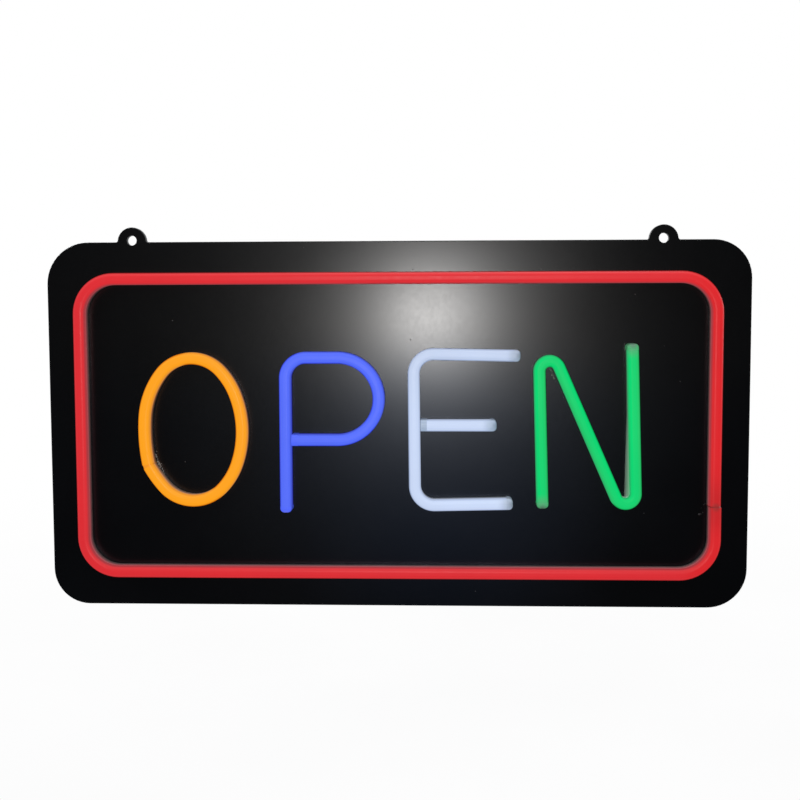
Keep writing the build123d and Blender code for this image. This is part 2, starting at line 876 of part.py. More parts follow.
with BuildPart() as socket_body:
    with BuildSketch(at_height(socket_mouth_z)):
        draw_circles([socket_centre], socket_flange_r)
    extrude(amount=socket_flange_t)
    chamfer(socket_body.faces().sort_by(Axis.Z)[0].edges(), length=0.5)
    with BuildSketch(at_height(cover_bottom_z)):
        draw_circles([socket_centre], socket_body_r)
    extrude(amount=socket_body_len)
    with BuildSketch(at_height(socket_mouth_z)):
        draw_circles([socket_centre], socket_bore_r)
    extrude(amount=socket_bore_len, mode=Mode.SUBTRACT)
    # hole for the pin's tail
    with BuildSketch(at_height(cover_bottom_z)):
        draw_circles([socket_centre], pin_tail_r)
    extrude(amount=socket_body_len, mode=Mode.SUBTRACT)
save(socket_body.part, "socket_body")

with BuildPart() as socket_nut:
    with BuildSketch(at_height(inner_bottom_z)):
        with Locations(socket_centre):
            RegularPolygon(nut_flat_r, 6, major_radius=False)
            Circle(socket_body_r, mode=Mode.SUBTRACT)
    extrude(amount=nut_t)
    chamfer(socket_nut.faces().sort_by(Axis.Z)[-1].outer_wire().edges(), length=0.4)
save(socket_nut.part, "socket_nut")

with BuildPart() as socket_pin:
    with BuildSketch(at_height(socket_mouth_z + pin_recess)):
        draw_circles([socket_centre], pin_r)
    extrude(amount=socket_bore_len - pin_recess)
    fillet(socket_pin.faces().sort_by(Axis.Z)[0].edges(), radius=0.4)
    with BuildSketch(at_height(bore_end_z)):
        draw_circles([socket_centre], pin_tail_r)
    extrude(amount=pin_top_z - bore_end_z)
save(socket_pin.part, "socket_pin")

with BuildPart() as socket_tag:
    with BuildSketch(at_height(socket_back_z)):
        with Locations((socket_tag_x, -fitting_d)):
            Rectangle(0.4, 2.2)
    extrude(amount=socket_tag_len)
save(socket_tag.part, "socket_tag")

# ---------------------------------------------------------------------------
# rocker switch in the bottom wall, rocker facing down
# ---------------------------------------------------------------------------

switch_centre = (switch_x, -fitting_d)  # (x, y)
switch_flange_t = 1.6
switch_mouth_z = cover_bottom_z - switch_flange_t
switch_body_len = 10.5
switch_cavity_len = 9.6
pivot_z = cover_bottom_z - 0.6
rocker_tilt = 10.0
rocker_t = 6.9
axle_r = 1.0
axle_len = 8.6
axle_hole_r = 1.05
axle_hole_len = 8.8
contact_w = 2.4
outer_tag_x = switch_x - 4.0
switch_tag = (0.8, 3.0)
switch_tag_top_z = cover_bottom_z + 15.0


def switch_side(thickness):
    """Plane parallel to the board, on the back of a body this thick centred on the switch."""
    return at_depth(fitting_d - thickness / 2)


def tilted(part):
    """Turn a part about the rocker's axle."""
    return part.rotate(Axis((switch_x, -fitting_d, pivot_z), (0, 1, 0)), rocker_tilt)


with BuildPart() as switch_housing:
    with BuildSketch(at_height(switch_mouth_z)):
        with Locations(switch_centre):
            RectangleRounded(16.4, 11.0, 1.2)
    extrude(amount=switch_flange_t)
    chamfer(switch_housing.faces().sort_by(Axis.Z)[0].edges(), length=0.4)
    with BuildSketch(at_height(cover_bottom_z)):
        with Locations(switch_centre):
            Rectangle(13.9, 9.2)
    extrude(amount=switch_body_len)
    with BuildSketch(at_height(switch_mouth_z)):
        with Locations(switch_centre):
            Rectangle(12.9, 7.2)
    extrude(amount=switch_cavity_len, mode=Mode.SUBTRACT)
    with BuildSketch(switch_side(axle_hole_len)):
        draw_circles([(switch_x, pivot_z)], axle_hole_r)
    extrude(amount=axle_hole_len, mode=Mode.SUBTRACT)
    # tag slots through the end wall of the cavity
    with BuildSketch(at_height(cover_bottom_z + 7.0)):
        with Locations((outer_tag_x, -fitting_d), switch_centre):
            Rectangle(*switch_tag)
    extrude(amount=6.0, mode=Mode.SUBTRACT)
save(switch_housing.part, "switch_housing")

# rocker profile about the pivot, before tilting: x and z offsets
rocker_profile = [
    (-5.6, 2.0), (-1.4, 2.0), (-1.4, 3.4), (1.4, 3.4), (1.4, 2.0),
    (5.6, 2.0), (5.9, -2.5), (0.0, -1.55), (-5.9, -2.5),
]

with BuildPart() as switch_rocker:
    with BuildSketch(switch_side(rocker_t)):
        with BuildLine():
            Polyline(*[(switch_x + x, pivot_z + z) for x, z in rocker_profile], close=True)
        make_face()
    extrude(amount=rocker_t)
    # the two lowest corners
    lower_edges = ShapeList(edge for edge in switch_rocker.edges().filter_by(Axis.Y)
                            if edge.center().Z < pivot_z - 2.2)
    fillet(lower_edges, radius=0.5)
    with BuildSketch(switch_side(axle_len)):
        draw_circles([(switch_x, pivot_z)], axle_r)
    extrude(amount=axle_len)
save(tilted(switch_rocker.part), "switch_rocker")

with BuildPart() as switch_contact:
    with BuildSketch(switch_side(contact_w)):
        with Locations((switch_x - 0.2, pivot_z + 3.6)):
            Rectangle(8.4, 0.4)
    extrude(amount=contact_w)
save(tilted(switch_contact.part), "switch_contact")

# the outer tag meets the raised end of the contact plate, the middle tag its centre
with BuildPart() as switch_tags:
    for x, start_z in ((outer_tag_x, cover_bottom_z + 4.15), (switch_x, cover_bottom_z + 3.4)):
        with BuildSketch(at_height(start_z)):
            with Locations((x, -fitting_d)):
                Rectangle(*switch_tag)
        extrude(amount=switch_tag_top_z - start_z)
save(switch_tags.part, "switch_tags")

# ---------------------------------------------------------------------------
# supply leads: socket to switch to circuit board, and socket to circuit board
# ---------------------------------------------------------------------------

supply_entry_x = supply_terminal_x + 2.0
socket_lead_z = pin_top_z + 4.0

# the positive lead steps to the front, then back again to the terminal's depth
positive_step_z = -102.5
positive_step_d = positive_d + 3.0
positive_drop_x = switch_x - 10.0
save(joined([
    lead([
        (socket_x, -fitting_d, pin_top_z), (socket_x, -fitting_d, socket_lead_z),
        (switch_x, -fitting_d, socket_lead_z), (switch_x, -fitting_d, switch_tag_top_z),
    ], supply_bend_r),
    lead([
        (outer_tag_x, -fitting_d, switch_tag_top_z),
        (outer_tag_x, -fitting_d, positive_step_z),
        (outer_tag_x, -positive_step_d, positive_step_z),
        (positive_drop_x, -positive_step_d, positive_step_z),
        (positive_drop_x, -positive_d, positive_step_z),
        (positive_drop_x, -positive_d, supply_terminal_z),
        (supply_entry_x, -positive_d, supply_terminal_z),
    ], supply_bend_r),
]), "supply_lead_positive")

# the negative lead steps to the back, then forward again to the terminal's depth
negative_step_z = -101.0
negative_step_d = negative_d - 2.6
negative_rise_x = socket_x - 6.0
negative_drop_x = socket_x - 12.0
save(lead([
    (socket_tag_x, -fitting_d, socket_back_z + socket_tag_len),
    (socket_tag_x, -fitting_d, negative_step_z),
    (socket_tag_x, -negative_step_d, negative_step_z),
    (negative_rise_x, -negative_step_d, negative_step_z),
    (negative_rise_x, -negative_step_d, supply_terminal_z),
    (negative_drop_x, -negative_step_d, supply_terminal_z),
    (negative_drop_x, -negative_d, supply_terminal_z),
    (supply_entry_x, -negative_d, supply_terminal_z),
], supply_bend_r), "supply_lead_negative")
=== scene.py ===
"""A lit sign of four letters, O P E N, inside a border: glowing silicone tubes on a black panel.

The sign stands upright in the XZ plane, in metres. Its front faces -Y, +X is to the right as
seen from the front and +Z is up. The script dresses the CAD parts, adds dried glue and sets
the stage: floor, surrounding light, lamps and camera.
"""
import bmesh
import bpy
import math
import random
from mathutils import Matrix, Vector, noise


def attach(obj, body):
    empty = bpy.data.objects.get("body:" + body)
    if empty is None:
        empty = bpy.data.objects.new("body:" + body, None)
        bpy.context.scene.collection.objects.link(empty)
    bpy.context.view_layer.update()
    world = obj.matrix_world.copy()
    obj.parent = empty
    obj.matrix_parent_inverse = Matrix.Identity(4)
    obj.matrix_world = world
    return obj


FRONT, BACK, RIGHT = (0, -1, 0), (0, 1, 0), (1, 0, 0)
BLACK, WHITE = (0.0, 0.0, 0.0), (1.0, 1.0, 1.0)

MM_PER_M = 1000.0
BOARD_FACE_MM = -18.0                       # y of the panel's front face
BOARD_FACE_Y = BOARD_FACE_MM / MM_PER_M
CHANNEL_TOP_Y = -0.0253                     # where a tube's side wall meets its diffuser
FOOT_SHADE_TOP_Y = -0.0205                        # top of the painted shade band along a side wall's foot
SIGHT_CENTRE = (0.0375, 0.0, 0.083)         # point of the sign opposite the lens
SMOOTH_ANGLE = math.radians(32)             # sharper edges stay crisp

CAMERA_PLACE = (0.0374993, -0.868, 0.0834047)
CAMERA_PITCH, CAMERA_YAW, CAMERA_ROLL = -0.07655, 0.04073, 0.00308
FOCAL_LENGTH_MM = 53.802
SENSOR_WIDTH_MM = 36.0

FLOOR_Z = -0.42
FLOOR_RINGS = (0.4, 0.8, 1.4, 2.2, 3.4, 5.0, 8.0)
FLOOR_SIDES = 96

NOISE_SPAN = (0.3, 0.7)                     # the range most noise values fall in
FALL = (1.0, 0.0)                           # ramp that runs down instead of up


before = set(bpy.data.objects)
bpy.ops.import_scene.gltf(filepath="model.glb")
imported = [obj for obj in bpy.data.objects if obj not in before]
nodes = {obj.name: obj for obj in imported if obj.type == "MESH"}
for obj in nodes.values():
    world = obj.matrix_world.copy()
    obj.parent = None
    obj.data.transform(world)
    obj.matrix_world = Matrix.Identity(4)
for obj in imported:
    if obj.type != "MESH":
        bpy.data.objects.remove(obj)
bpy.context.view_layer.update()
scene = bpy.context.scene

# ---------------------------------------------------------------------------
# node helpers
# ---------------------------------------------------------------------------


class Graph:
    """A node tree with helpers; a value may be a number, a colour, a vector or a socket."""

    def __init__(self, tree):
        self.tree = tree

    def feed(self, socket, value):
        if isinstance(value, bpy.types.NodeSocket):
            self.tree.links.new(value, socket)
        elif socket.type == "RGBA":
            socket.default_value = (*value, 1.0)
        else:
            socket.default_value = value

    def node(self, kind, inputs=None, **settings):
        made = self.tree.nodes.new("ShaderNode" + kind)
        for key, value in settings.items():
            setattr(made, key, value)
        for key, value in (inputs or {}).items():
            self.feed(made.inputs[key], value)
        return made

    def math(self, operation, *values):
        return self.node("Math", dict(enumerate(values)), operation=operation).outputs[0]

    def times(self, value, by):
        return self.math("MULTIPLY", value, by)

    def minus(self, value, less):
        return self.math("SUBTRACT", value, less)

    def plus(self, total, *terms):
        for term in terms:
            total = self.math("ADD", total, term)
        return total

    def ramp(self, value, span, to=(0.0, 1.0), smooth=False):
        """Map the range `span` to the range `to`, held at both ends."""
        inputs = {"Value": value, "From Min": span[0], "From Max": span[1],
                  "To Min": to[0], "To Max": to[1]}
        kind = "SMOOTHSTEP" if smooth else "LINEAR"
        return self.node("MapRange", inputs, interpolation_type=kind).outputs["Result"]


class Material(Graph):
    """A procedural material built round a Principled shader."""

    INPUTS = dict(colour="Base Color", rough="Roughness", metal="Metallic", alpha="Alpha",
                  specular="Specular IOR Level", tint="Specular Tint", normal="Normal",
                  glow="Emission Color", glow_level="Emission Strength")

    def __init__(self, name):
        self.data = bpy.data.materials.new(name)
        self.data.use_nodes = True
        super().__init__(self.data.node_tree)
        self.shader = self.tree.nodes["Principled BSDF"]
        self.place = self.node("TexCoord").outputs["Object"]

    def set(self, **values):
        for key, value in values.items():
            self.feed(self.shader.inputs[self.INPUTS[key]], value)

    # textures

    def noise(self, scale, detail=3.0, rough=0.5, vector=None):
        inputs = {"Scale": scale, "Detail": detail, "Roughness": rough,
                  "Vector": vector or self.place}
        return self.node("TexNoise", inputs).outputs["Fac"]

    def cells(self, scale):
        inputs = {"Scale": scale, "Vector": self.place}
        return self.node("TexVoronoi", inputs).outputs["Distance"]

    def stretched(self, scale):
        return self.node("Mapping", {"Scale": scale, "Vector": self.place}).outputs["Vector"]

    def vary(self, cloud, to):
        """A noise spread over the range `to`."""
        return self.ramp(cloud, span=NOISE_SPAN, to=to)

    def patchy(self, scale, to, detail=3.0):
        """A plain noise spread over the range `to`."""
        return self.vary(self.noise(scale, detail), to)

    def mix(self, factor, start, end, share=None):
        """Blend two colours; `share` weakens the factor."""
        if share is not None:
            factor = self.times(factor, by=share)
        return self.node("Mix", {0: factor, 6: start, 7: end}, data_type="RGBA").outputs[2]

    def mottle(self, cloud, start, end, span=NOISE_SPAN):
        """Two colours blended by a noise."""
        return self.mix(self.ramp(cloud, span), start, end)

    def dust(self, scale, speck, pick_scale, pick_span):
        """Soft specks, kept only where a broad noise is high."""
        specks = self.ramp(self.cells(scale), span=speck, to=FALL)
        return self.times(specks, by=self.ramp(self.noise(pick_scale, detail=1.0), pick_span))

    def bump(self, height, strength, depth, under=None):
        inputs = {"Strength": strength, "Distance": depth, "Height": height}
        if under is not None:
            inputs["Normal"] = under
        return self.node("Bump", inputs).outputs["Normal"]

    def grain(self, scale, strength, depth, detail=2.0):
        """Normal of a fine noisy relief."""
        return self.bump(self.noise(scale, detail, rough=0.6), strength, depth)

    # place and direction, in object space

    def xyz(self):
        return self.node("SeparateXYZ", {0: self.place}).outputs

    def vector_math(self, operation, *vectors, out="Value"):
        made = self.node("VectorMath", dict(enumerate(vectors)), operation=operation)
        return made.outputs[out]

    def surface_normal(self):
        return self.node("TexCoord").outputs["Normal"]

    def facing(self, axis):
        """How much the surface faces an axis, -1 to 1."""
        return self.vector_math("DOT_PRODUCT", self.surface_normal(), axis)

    def flattened(self, vector):
        """A vector laid into the board plane."""
        return self.vector_math("MULTIPLY", vector, (1.0, 0.0, 1.0), out="Vector")

    def near(self, x, z):
        """Distance in metres from a point of the board plane."""
        return self.vector_math("DISTANCE", self.flattened(self.place), (x, 0.0, z))

    def nearest(self, points):
        distance = self.near(*points[0])
        for point in points[1:]:
            distance = self.math("MINIMUM", distance, self.near(*point))
        return distance

    def turned_away(self):
        """0 where a flank faces the point opposite the lens, 1 where it faces outwards."""
        away = self.vector_math("SUBTRACT", self.place, SIGHT_CENTRE, out="Vector")
        outward = self.vector_math("DOT_PRODUCT", self.flattened(away), self.surface_normal())
        return self.ramp(outward, span=(-0.02, 0.02), smooth=True)

    def edge(self, radius, sharp, flat):
        """1 on edges, 0 on flats, from how far a bevelled normal leans off the true one."""
        bevel = self.node("Bevel", {"Radius": radius}, samples=6)
        true = self.node("NewGeometry")
        lean = self.vector_math("DOT_PRODUCT", bevel.outputs["Normal"], true.outputs["Normal"])
        return self.ramp(lean, span=(flat, sharp))


def dress(mat, *names):
    """Give the named parts one material."""
    for name in names:
        slots = nodes[name].data.materials
        slots.clear()
        slots.append(mat.data)


def parts_ending(ending):
    return [name for name in nodes if name.endswith(ending)]


def scaled(colour, factor):
    return tuple(v * factor for v in colour)


def metres(*points):
    """Points of the board plane, (x, z) in millimetres, in metres."""
    return [(x / MM_PER_M, z / MM_PER_M) for x, z in points]


# ---------------------------------------------------------------------------
# black parts
# ---------------------------------------------------------------------------


def black_panel():
    """Satin black sheet: mottled sheen, hair scratches, dust, slightly duller cut edge, a
    painted glow and a painted sheen.
    """
    mat = Material("panel_black_satin")

    def hairs(scale, stretch, width):
        """Thin lines where a stretched noise crosses its middle value."""
        wave = mat.noise(scale, detail=2.0, vector=mat.stretched(stretch))
        offset = mat.math("ABSOLUTE", mat.minus(wave, less=0.5))
        return mat.ramp(offset, span=(0.0, width), to=FALL)

    cloud = mat.noise(scale=9.0, detail=4.0, rough=0.55)
    lines = mat.math("MAXIMUM", hairs(scale=60.0, stretch=(1.0, 1.0, 26.0), width=0.004),
                     hairs(scale=75.0, stretch=(22.0, 1.0, 1.4), width=0.003))
    scratched = mat.ramp(mat.noise(scale=14.0, detail=2.0), span=(0.55, 0.68))
    lines = mat.times(lines, by=scratched)
    dust = mat.dust(scale=120.0, speck=(0.035, 0.06), pick_scale=51.0, pick_span=(0.60, 0.63))
    cut_edge = mat.ramp(mat.math("ABSOLUTE", mat.facing(BACK)), span=(0.35, 0.75), to=FALL)

    colour = mat.mottle(cloud, (0.0022, 0.0024, 0.0031), (0.0034, 0.0036, 0.0045),
                        span=(0.35, 0.65))
    colour = mat.mix(dust, colour, (0.16, 0.155, 0.15), share=0.55)
    colour = mat.mix(lines, colour, (0.06, 0.06, 0.062), share=0.12)
    colour = mat.mix(cut_edge, colour, (0.014, 0.0138, 0.0145), share=0.8)
    rough = mat.plus(mat.vary(cloud, to=(0.243, 0.262)),
                     mat.times(dust, by=0.4),
                     mat.patchy(scale=420.0, to=(-0.006, 0.006), detail=2.0)
                     if False else mat.vary(mat.noise(scale=420.0, detail=2.0, rough=0.6),
                                            to=(-0.006, 0.006)),
                     mat.times(cut_edge, by=0.2))
    # painted shade and painted reflection: the sheen is set weaker to the right, and bluer
    # downwards where the white tubes' light would reflect
    pos = mat.xyz()
    specular = mat.times(mat.ramp(pos["X"], span=(-0.2, 0.02), to=(0.60, 0.51)),
                         by=mat.ramp(pos["X"], span=(0.12, 0.2), to=(1.0, 0.74), smooth=True))
    low = mat.ramp(pos["Z"], span=(0.075, -0.01), smooth=True)
    # painted glow: the panel gives off faint blue light round the white letter, in place of the
    # white tubes' light scattered by the satin surface
    painted_spill_glow = mat.ramp(mat.near(x=0.035, z=-0.045), span=(0.0, 0.15), to=FALL, smooth=True)
    relief = mat.bump(mat.noise(scale=1600.0, detail=2.0), strength=0.05, depth=0.00002)
    mat.set(colour=colour, rough=rough, specular=specular,
            tint=mat.mix(low, WHITE, (0.80, 0.87, 1.0)),
            glow=(0.0012, 0.0028, 0.0072),
            glow_level=mat.times(painted_spill_glow, by=mat.ramp(mat.facing(FRONT), span=(0.6, 0.95))),
            normal=mat.bump(lines, strength=0.05, depth=0.00002, under=relief))
    return mat


def moulded_black(name, dark, light, rough, grain_scale, grain_depth):
    """Moulded plastic with a fine spark-eroded grain and slightly polished edges."""
    mat = Material(name)
    cloud = mat.noise(scale=11.0, detail=4.0, rough=0.6)
    grain = mat.noise(grain_scale, detail=3.0, rough=0.65)
    edge = mat.edge(radius=0.0006, sharp=0.80, flat=0.985)
    handled = mat.ramp(mat.noise(scale=23.0, detail=5.0, rough=0.65), span=(0.5, 0.72))
    dust = mat.dust(scale=150.0, speck=(0.03, 0.055), pick_scale=37.0, pick_span=(0.60, 0.64))
    worn = tuple(v * 2.2 + 0.004 for v in light)
    colour = mat.mix(edge, mat.mottle(cloud, dark, light), worn, share=0.35)
    roughness = mat.minus(mat.vary(grain, to=rough), less=mat.times(handled, by=0.06))
    relief = mat.bump(grain, strength=0.55, depth=grain_depth)
    mat.set(colour=mat.mix(dust, colour, (0.18, 0.175, 0.165), share=0.5),
            rough=mat.minus(roughness, less=mat.times(edge, by=0.12)),
            specular=0.5,
            normal=mat.bump(mat.cells(grain_scale * 1.4), strength=0.35,
                            depth=grain_depth * 0.6, under=relief))
    return mat


dress(black_panel(), "front_panel")
dress(moulded_black("cover_black_grain", dark=(0.014, 0.014, 0.015),
                    light=(0.020, 0.020, 0.0212), rough=(0.42, 0.58),
                    grain_scale=900.0, grain_depth=0.00006), "rear_cover")
dress(moulded_black("fitting_black_nylon", dark=(0.012, 0.012, 0.012),
                    light=(0.018, 0.018, 0.018), rough=(0.34, 0.44),
                    grain_scale=1500.0, grain_depth=0.00003), "socket_body", "switch_housing")
dress(moulded_black("rocker_black_polished", dark=(0.016, 0.016, 0.016),
                    light=(0.021, 0.021, 0.021), rough=(0.20, 0.28),
                    grain_scale=1800.0, grain_depth=0.00001), "switch_rocker")
dress(moulded_black("grommet_rubber", dark=(0.02, 0.02, 0.02),
                    light=(0.032, 0.032, 0.032), rough=(0.6, 0.75),
                    grain_scale=1200.0, grain_depth=0.00003), "lead_grommets")

# ---------------------------------------------------------------------------
# light tubes
# ---------------------------------------------------------------------------

ROOM_LIGHT = 0.33       # share of its base colour a surface returns from the room
SILICONE_GLOSS = 0.018  # room light returned as shine
FLANK_GLOSS = 0.004


def linear(colour):
    """Display colour 0-255 to linear light."""
    return tuple(((v / 255 + 0.055) / 1.055) ** 2.4 if v > 10.3 else v / 255 / 12.92
                 for v in colour)


def glow_for(shown, base, gloss=SILICONE_GLOSS):
    """Light a lit surface gives off itself, once the room light it returns is taken away."""
    return tuple(max(0.0, s - ROOM_LIGHT * b - gloss) for s, b in zip(linear(shown), base))


# crown: lit display colour of the crown; outer and inner: display colours of the flanks turned
# away from and towards the point opposite the lens, painted darker and lighter as if lit by the
# lamp beside the lens; base: linear colour of the unlit silicone; gloss: shine left out of the
# glow; spec: specular level of the crown
RED = dict(crown=(220, 51, 57), outer=(132, 8, 10), inner=(168, 64, 70),
           base=(0.30, 0.030, 0.032), gloss=0.009, spec=0.30)
ORANGE = dict(crown=(254, 165, 38), outer=(200, 100, 6), inner=(226, 146, 56),
              base=(0.34, 0.15, 0.03), gloss=SILICONE_GLOSS, spec=0.32)
BLUE = dict(crown=(92, 115, 253), outer=(42, 56, 200), inner=(74, 92, 208),
            base=(0.06, 0.075, 0.30), gloss=SILICONE_GLOSS, spec=0.32)
COOL_WHITE = dict(crown=(200, 215, 244), outer=(140, 155, 186), inner=(172, 185, 213),
                  base=(0.33, 0.34, 0.36), gloss=SILICONE_GLOSS, spec=0.32)
GREEN = dict(crown=(6, 214, 115), outer=(4, 140, 70), inner=(48, 176, 108),
             base=(0.008, 0.21, 0.08), gloss=0.005, spec=0.14)

E_TIPS = metres((88.0, 49.8), (83.0, -55.1))
BAR_TIPS = metres((71.4, 0.7))
N_TIPS = metres((104.0, -58.3), (166.0, 58.4))
O_SPLICE = metres((-177.1, -28.1))
P_TIPS = metres((-78.4, -61.8))
BORDER_JOINT = (0.225, -0.0566)


def lit_silicone(name, tone, streak=0.05, lift=None, tips=None, faded=None, joint=None,
                 painted_sheen_colour=None, right=None):
    """Lit diffuser: even light, weaker towards the side walls.

    streak: unevenness of the light; lift: ramp of the light level over z
    tips, faded: tube ends and the display colour there; joint: place of a dark joint
    milky: display colour of the flank with a painted sheen of room light; right: display colour
    of the right-hand run
    """
    mat = Material(name)
    base = tone["base"]

    def glow(shown):
        return glow_for(shown, base, tone["gloss"])

    def flank_glow(shown):
        return glow_for(shown, scaled(base, 0.4), FLANK_GLOSS)

    front = mat.facing(FRONT)
    fine = mat.noise(scale=70.0, detail=3.0, rough=0.55)
    soft = mat.noise(scale=16.0, detail=2.0)
    pos = mat.xyz() if lift or painted_sheen_colour or right else None
    centre = glow(tone["crown"])
    if painted_sheen_colour:
        # painted sheen: the right-facing flank is painted whiter, as room light reflecting off
        # it, but the left-facing one between the two stems
        between = mat.times(mat.ramp(pos["X"], span=(0.112, 0.116)),
                            by=mat.ramp(pos["X"], span=(0.158, 0.162), to=FALL))
        flank = mat.times(mat.facing(RIGHT),
                          by=mat.ramp(between, span=(0.0, 1.0), to=(1.0, -1.0)))
        painted_sheen = mat.ramp(mat.plus(flank, mat.vary(soft, to=(-0.15, 0.15))),
                          span=(-0.25, 0.75))
        centre = mat.mix(painted_sheen, centre, glow(painted_sheen_colour))
    if right:
        on_right = mat.ramp(pos["X"], span=(0.195, 0.218), smooth=True)
        centre = mat.mix(on_right, centre, glow(right))
    if tips:
        at_tip = mat.ramp(mat.nearest(tips), span=(0.0042, 0.0115), to=FALL, smooth=True)
        centre = mat.mix(at_tip, centre, glow(faded))
    if joint:
        # a wide faint shadow with a narrow grey-red core
        distance = mat.near(*joint)
        shadow = mat.ramp(distance, span=(0.004, 0.026), to=(0.20, 0.0), smooth=True)
        core = mat.ramp(distance, span=(0.0012, 0.0042), to=(0.85, 0.0), smooth=True)
        centre = mat.mix(core, mat.mix(shadow, centre, BLACK), glow((162, 52, 52)))
    # painted light: flanks facing the point opposite the lens are painted brighter, as lit by
    # the lamp beside the lens, and the outward ones darker
    flank_glow_and_painted_lamp_light = mat.mix(mat.turned_away(), flank_glow(tone["inner"]), flank_glow(tone["outer"]))
    level = mat.plus(mat.vary(soft, to=(1.0 - streak, 1.0 + streak * 0.6)),
                     mat.vary(fine, to=(-0.02, 0.02)))
    if lift:
        level = mat.times(level, by=mat.ramp(pos["Z"], **lift))
    crown = mat.ramp(front, span=(0.22, 0.90), smooth=True)
    body = mat.ramp(front, span=(0.30, 0.92), smooth=True)
    mat.set(glow=mat.mix(crown, flank_glow_and_painted_lamp_light, centre), glow_level=level,
            # painted shade: the base colour drops to about a third on the flanks, where the tube
            # turns from the front
            colour=mat.mix(body, scaled(base, 0.36),
                           mat.mottle(fine, base, scaled(base, 0.86))),
            rough=mat.patchy(scale=240.0, to=(0.36, 0.46), detail=2.0),
            specular=mat.ramp(body, span=(0.0, 1.0), to=(0.03, tone["spec"])),
            normal=mat.grain(scale=1400.0, strength=0.12, depth=0.00003))
    return mat


dress(lit_silicone("silicone_red_lit", RED, lift=dict(span=(-0.09, 0.105), to=(0.99, 1.03)),
                   joint=BORDER_JOINT, right=(219, 45, 49)), "border_diffuser")
dress(lit_silicone("silicone_orange_lit", ORANGE, streak=0.03), "letter_o_diffuser")
dress(lit_silicone("silicone_blue_lit", BLUE, lift=dict(span=(-0.06, 0.05), to=(0.96, 1.02))),
      "letter_p_diffuser")
dress(lit_silicone("silicone_white_lit", COOL_WHITE,
                   lift=dict(span=(-0.058, 0.052), to=(1.04, 0.93)),
                   tips=E_TIPS, faded=(176, 190, 212)), "letter_e_diffuser")
dress(lit_silicone("silicone_white_lit_bar", COOL_WHITE,
                   lift=dict(span=(-0.004, 0.005), to=(1.02, 0.94)),
                   tips=BAR_TIPS, faded=(172, 189, 213)), "e_bar_diffuser")
dress(lit_silicone("silicone_green_lit", GREEN, tips=N_TIPS, faded=(80, 180, 118),
                   painted_sheen_colour=(46, 198, 108)), "letter_n_diffuser")


def grey_loop(mat):
    """Lower left of the round letter: its grey and where it shows."""
    distance = mat.near(x=-0.158, z=-0.044)
    return (0.34, 0.26, 0.21), mat.ramp(distance, span=(0.012, 0.028), to=FALL, smooth=True)


def grey_stem(mat):
    """Lower half of the fourth letter's last stem: its grey and where it shows."""
    pos = mat.xyz()
    stem = mat.ramp(pos["X"], span=(0.1585, 0.1610), smooth=True)
    low = mat.ramp(pos["Z"], span=(0.045, -0.020), smooth=True)
    return (0.66, 0.70, 0.67), mat.times(stem, by=low)


def channel_silicone(name, base, glow, foot_shade_colour=(0.05, 0.05, 0.052), power=2.2, grey=None):
    """Side wall of a tube: light leaks in below the diffuser and dies away to the board, and
    painted shade darkens it next to the board.

    power: how fast the light dies away; grey: function giving a stretch of plain grey side
    """
    mat = Material(name)
    depth = mat.xyz()["Y"]
    leak = mat.math("POWER", mat.ramp(depth, span=(CHANNEL_TOP_Y, BOARD_FACE_Y), to=FALL),
                    power)
    cloud = mat.noise(scale=45.0, detail=3.0, rough=0.6)
    body = mat.mottle(cloud, base, scaled(base, 0.82))
    # painted shade: the wall is darkened towards its foot, where it meets the board
    foot_shade = mat.times(mat.ramp(depth, span=(FOOT_SHADE_TOP_Y, BOARD_FACE_Y)), by=0.75)
    if grey:
        # the grey runs down to the board, so the painted shade at the foot is weaker there
        tone, here = grey(mat)
        body = mat.mix(here, body, tone)
        foot_shade = mat.times(foot_shade, by=mat.ramp(here, span=(0.0, 1.0), to=(1.0, 0.45)))
    mat.set(colour=mat.mix(foot_shade, body, foot_shade_colour), glow=glow,
            glow_level=mat.times(leak, by=mat.vary(cloud, to=(0.9, 1.1))),
            rough=mat.patchy(scale=300.0, to=(0.5, 0.62), detail=2.0),
            specular=0.3, normal=mat.grain(scale=900.0, strength=0.15, depth=0.00003))
    return mat


dress(channel_silicone("channel_red_side", base=(0.27, 0.19, 0.19), glow=(0.36, 0.040, 0.052)),
      "border_channel")
dress(channel_silicone("channel_orange_side", base=(0.17, 0.12, 0.10), glow=(0.50, 0.18, 0.05),
                       grey=grey_loop), "letter_o_channel")
dress(channel_silicone("channel_blue_side", base=(0.05, 0.05, 0.10), glow=(0.03, 0.045, 0.60),
                       foot_shade_colour=(0.03, 0.03, 0.05), power=1.3), "letter_p_channel")
dress(channel_silicone("channel_white_side", base=(0.34, 0.36, 0.40), glow=(0.26, 0.30, 0.40)),
      "letter_e_channel", "e_bar_channel")
dress(channel_silicone("channel_green_side", base=(0.10, 0.15, 0.11), glow=(0.01, 0.22, 0.07),
                       grey=grey_stem), "letter_n_channel")


def cap_silicone(name, base, tips, inner, tip, reach=0.0046):
    """End of a tube beyond its last lamp: whitish translucent silicone that dims towards the
    tip.

    inner, tip: display colours beyond `reach` metres from the tip and at the tip
    """
    mat = Material(name)
    cloud = mat.noise(scale=160.0, detail=3.0, rough=0.6)
    away = mat.ramp(mat.nearest(tips), span=(0.0006, reach), smooth=True)
    crown = mat.ramp(mat.facing(FRONT), span=(0.0, 0.75), to=(0.35, 1.0), smooth=True)
    mat.set(colour=mat.mottle(cloud, base, scaled(base, 0.85)),
            glow=mat.mix(away, glow_for(tip, base), glow_for(inner, base)),
            glow_level=mat.times(crown, by=mat.vary(cloud, to=(0.93, 1.07))),
            rough=mat.patchy(scale=500.0, to=(0.32, 0.46), detail=2.0),
            specular=0.4, normal=mat.grain(scale=700.0, strength=0.2, depth=0.00004))
    return mat


